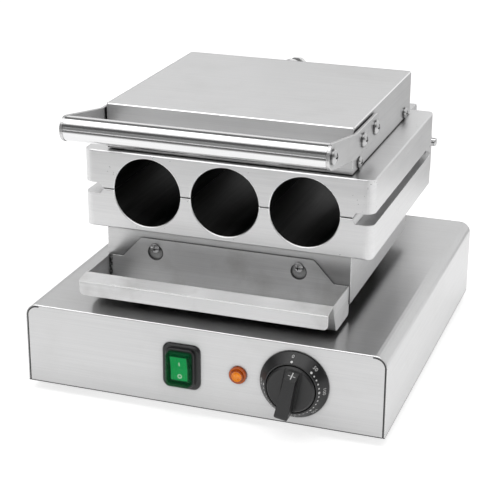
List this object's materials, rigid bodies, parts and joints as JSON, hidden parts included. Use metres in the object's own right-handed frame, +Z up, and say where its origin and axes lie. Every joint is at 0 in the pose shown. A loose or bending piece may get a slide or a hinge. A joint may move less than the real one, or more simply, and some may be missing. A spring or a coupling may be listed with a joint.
{
  "type": "bun press machine",
  "caption": "Countertop heated bun press: sheet steel base with switch, lamp and thermostat dial, hinged lid, split mould with cylindrical bores, drip tray.",
  "frame": {"origin": "on the table, under the middle of the machine's outside measures", "axes": "+X to the machine's right as seen by the user, +Y to the back, +Z up"},
  "size_m": [0.31, 0.365, 0.2467],
  "materials": {
    "amber": "clear moulded",
    "black": "moulded, satin",
    "boot": "clear green silicone",
    "cast": "machined, fine milling marks; dark non-stick coating in the bores",
    "dark": "heat-darkened",
    "green": "gloss",
    "polished": "polished",
    "rubber": "matt",
    "steel": "brushed, fine grain",
    "white": "moulded",
    "wool": "mineral wool"
  },
  "bodies": {
    "base": {"base_casing": "steel", "bottom_plate": "steel", "bottom_screws": "polished", "rubber_feet": "rubber", "foot_screws": "polished", "lower_housing": "steel", "housing_spacers": "steel", "spacer_bolts": "polished", "wire_sleeve": "dark", "lower_mould": "cast", "mould_screws": "polished", "lower_heater": "dark", "lower_clamp_plate": "steel", "lower_clamp_bolts": "polished", "lower_insulation": "wool", "lower_hinge_blocks": "cast", "lower_block_bolts": "polished", "hinge_pins": "polished", "pin_clips": "dark", "tray_screws": "polished", "switch_frame": "black", "switch_boot": "boot", "switch_body": "black", "indicator_lens": "amber", "indicator_body": "black", "dial_ring": "black", "thermostat_body": "steel", "thermostat_screws": "polished", "terminal_block": "white", "mains_gland": "black", "housing_gland": "dark", "conduit": "polished"},
    "lid": {"cover_gland": "dark", "upper_mould": "cast", "upper_hinge_blocks": "cast", "upper_block_bolts": "polished", "upper_heater": "dark", "upper_clamp_plate": "steel", "upper_clamp_bolts": "polished", "upper_insulation": "wool", "cover_brackets": "steel", "bracket_screws": "polished", "upper_cover": "steel", "cover_screws": "polished", "handle_arms": "steel", "arm_spacers": "dark", "arm_screws": "polished", "handle_tube": "polished", "handle_plugs": "dark", "handle_screws": "polished"},
    "tray": {"drip_tray": "steel"},
    "rocker": {"switch_rocker": "green"},
    "knob": {"thermostat_knob": "black"}
  },
  "joints": [
    {"name": "lid_hinge", "type": "hinge", "parent": "base", "child": "lid", "pos_m": [0, 0.1266, 0.1664], "axis": [-1, 0, 0], "range_deg": [0, 95], "deforming": ["conduit"]},
    {"name": "tray_lift", "type": "slide", "parent": "base", "child": "tray", "axis": [0, 0, 1], "range_m": [0, 0.004]},
    {"name": "switch_rock", "type": "hinge", "parent": "base", "child": "rocker", "pos_m": [-0.0156, -0.1595, 0.0435], "axis": [-1, 0, 0], "range_deg": [0, 12]},
    {"name": "knob_turn", "type": "hinge", "parent": "base", "child": "knob", "pos_m": [0.0802, -0.1575, 0.0435], "axis": [0, 1, 0], "range_deg": [0, 270]}
  ]
}
